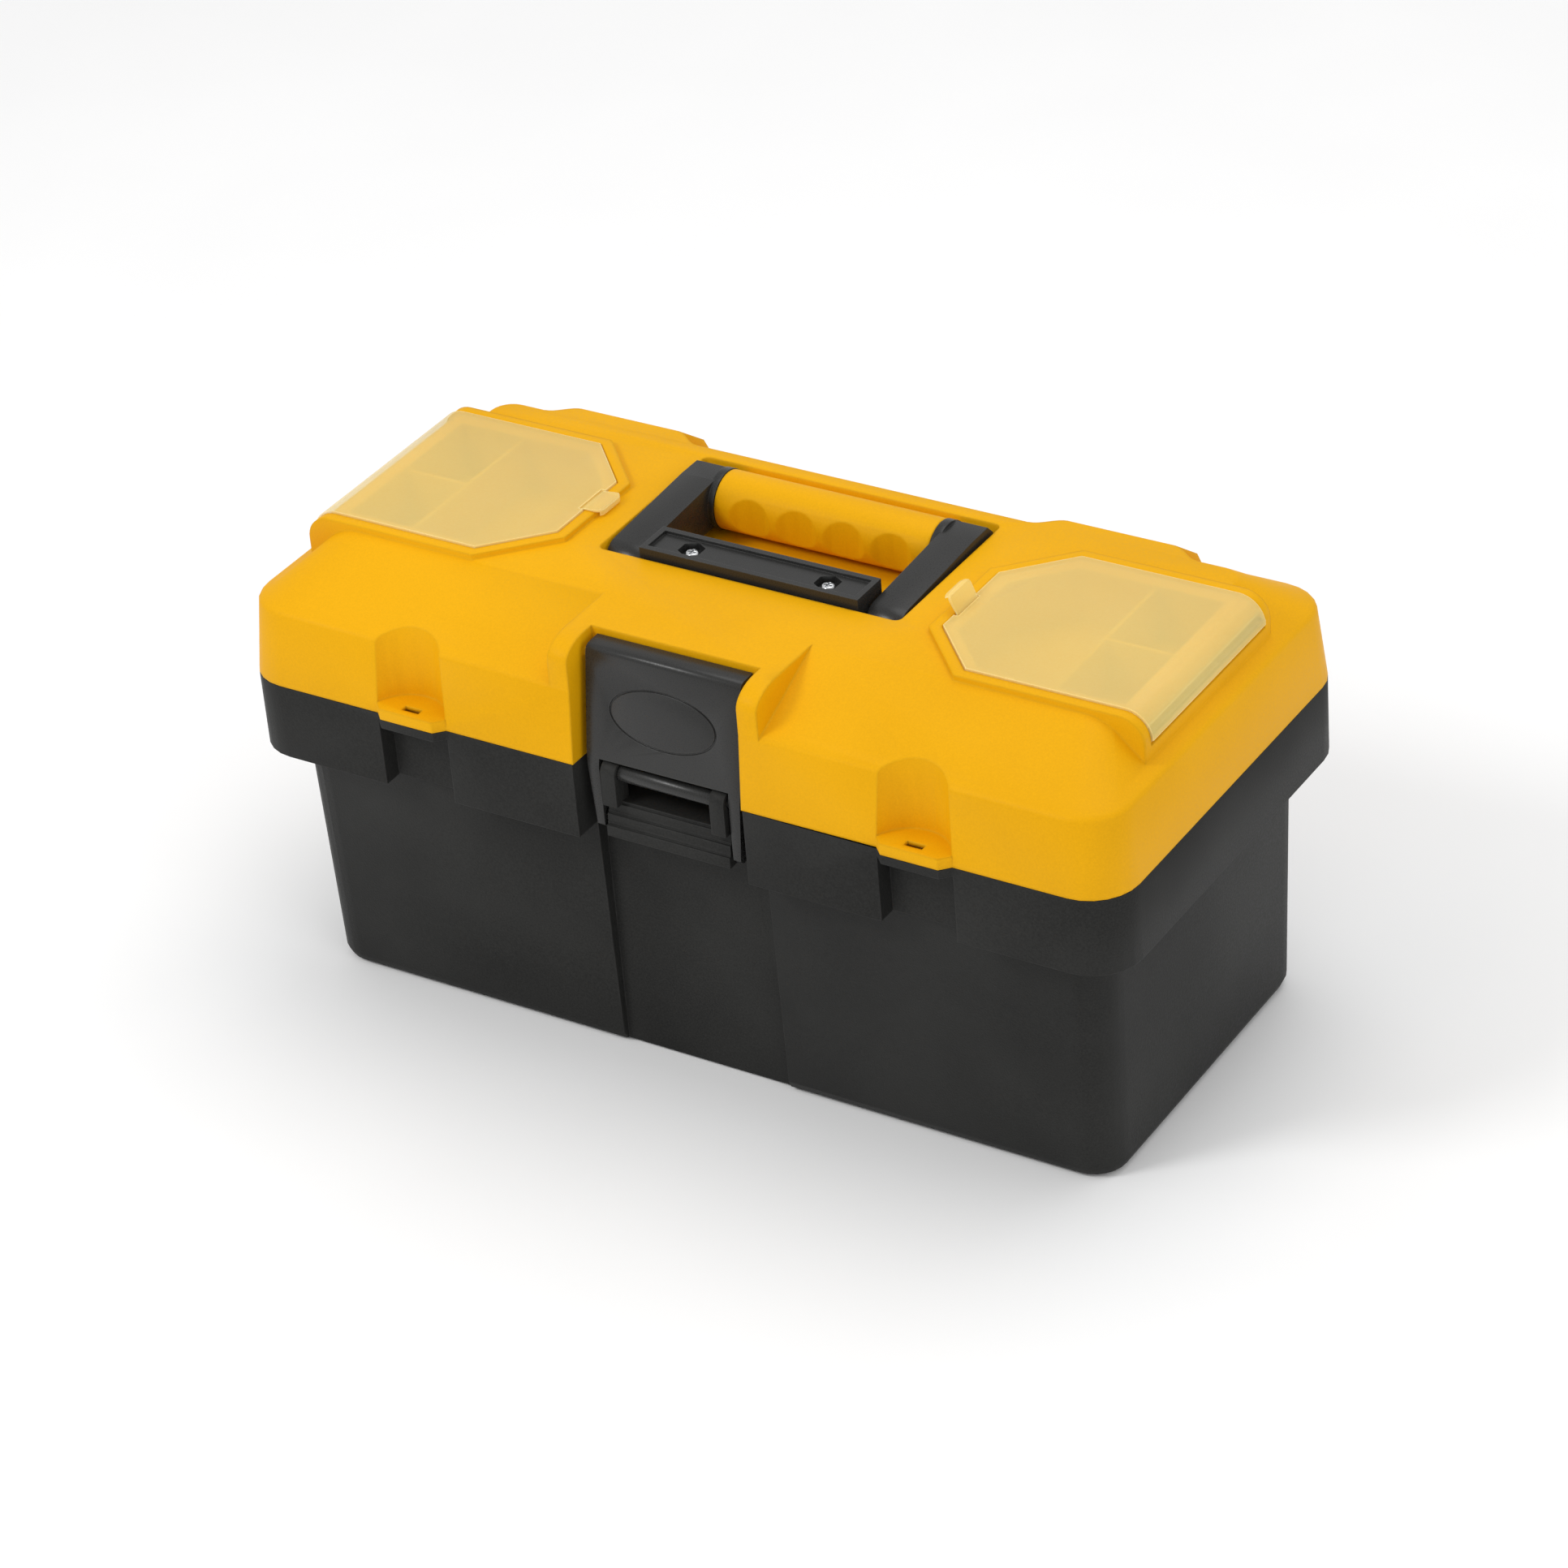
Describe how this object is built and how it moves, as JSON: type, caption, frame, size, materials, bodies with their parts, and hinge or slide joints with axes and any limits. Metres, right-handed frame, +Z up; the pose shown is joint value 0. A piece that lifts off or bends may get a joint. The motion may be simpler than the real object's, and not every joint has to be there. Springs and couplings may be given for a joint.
{
  "type": "toolbox with tray",
  "caption": "Plastic toolbox with a hinged lid, folding carry handle, front latch, clear-lidded organizers in the lid, padlock ears and a lift-out tray.",
  "frame": {"origin": "middle of the flat underside that the box stands on", "axes": "+Z up, +X along the length to the right as seen from the front, -Y towards the latch side"},
  "size_m": [0.4, 0.2045, 0.2046],
  "materials": {
    "tub_black": "fine spark-eroded grain, matte",
    "tray_black": "fine grain, matte",
    "lid_amber": "smooth satin moulding",
    "grip_amber": "smooth satin moulding",
    "satin_black": "satin with a light grain",
    "milky_cover": "milky translucent, frosted",
    "bright_steel": "bright zinc plated",
    "pin_steel": "plain drawn wire"
  },
  "bodies": {
    "base": {"base_tub": "tub_black", "hinge_pin_left": "pin_steel", "hinge_pin_right": "pin_steel"},
    "lid": {"lid_shell": "lid_amber", "handle_retainer": "satin_black", "retainer_screw_left": "bright_steel", "retainer_screw_right": "bright_steel"},
    "latch": {"latch_plate": "satin_black"},
    "handle": {"handle_frame": "satin_black", "handle_grip": "grip_amber"},
    "tray": {"lift_out_tray": "tray_black", "tray_handle": "tray_black"},
    "cover_right": {"organizer_cover_right": "milky_cover"},
    "cover_left": {"organizer_cover_left": "milky_cover"},
    "clip_right": {"cover_clip_right": "milky_cover"},
    "clip_left": {"cover_clip_left": "milky_cover"}
  },
  "joints": [
    {"name": "lid_hinge", "type": "hinge", "parent": "base", "child": "lid", "pos_m": [0, 0.1, 0.14235], "axis": [-1, 0, 0], "range_deg": [0, 105]},
    {"name": "latch_pivot", "type": "hinge", "parent": "base", "child": "latch", "pos_m": [0, -0.088, 0.139], "axis": [1, 0, 0], "range_deg": [0, 40]},
    {"name": "tray_lift", "type": "slide", "parent": "base", "child": "tray", "axis": [0, 0, 1], "range_m": [0, 0.024]},
    {"name": "handle_pivot", "type": "hinge", "parent": "lid", "child": "handle", "pos_m": [0, -0.012, 0.1855], "axis": [1, 0, 0], "range_deg": [0, 95]},
    {"name": "cover_right_hinge", "type": "hinge", "parent": "lid", "child": "cover_right", "pos_m": [0.1887, 0, 0.1868], "axis": [0, 1, 0], "range_deg": [0, 110]},
    {"name": "cover_left_hinge", "type": "hinge", "parent": "lid", "child": "cover_left", "pos_m": [-0.1887, 0, 0.1868], "axis": [0, -1, 0], "range_deg": [0, 110]},
    {"name": "clip_right_hinge", "type": "hinge", "parent": "cover_right", "child": "clip_right", "pos_m": [0.0894, -0.0053, 0.1959], "axis": [0, 1, 0], "range_deg": [-60, 35]},
    {"name": "clip_left_hinge", "type": "hinge", "parent": "cover_left", "child": "clip_left", "pos_m": [-0.0894, 0.0053, 0.1959], "axis": [0, -1, 0], "range_deg": [0, 95]}
  ]
}
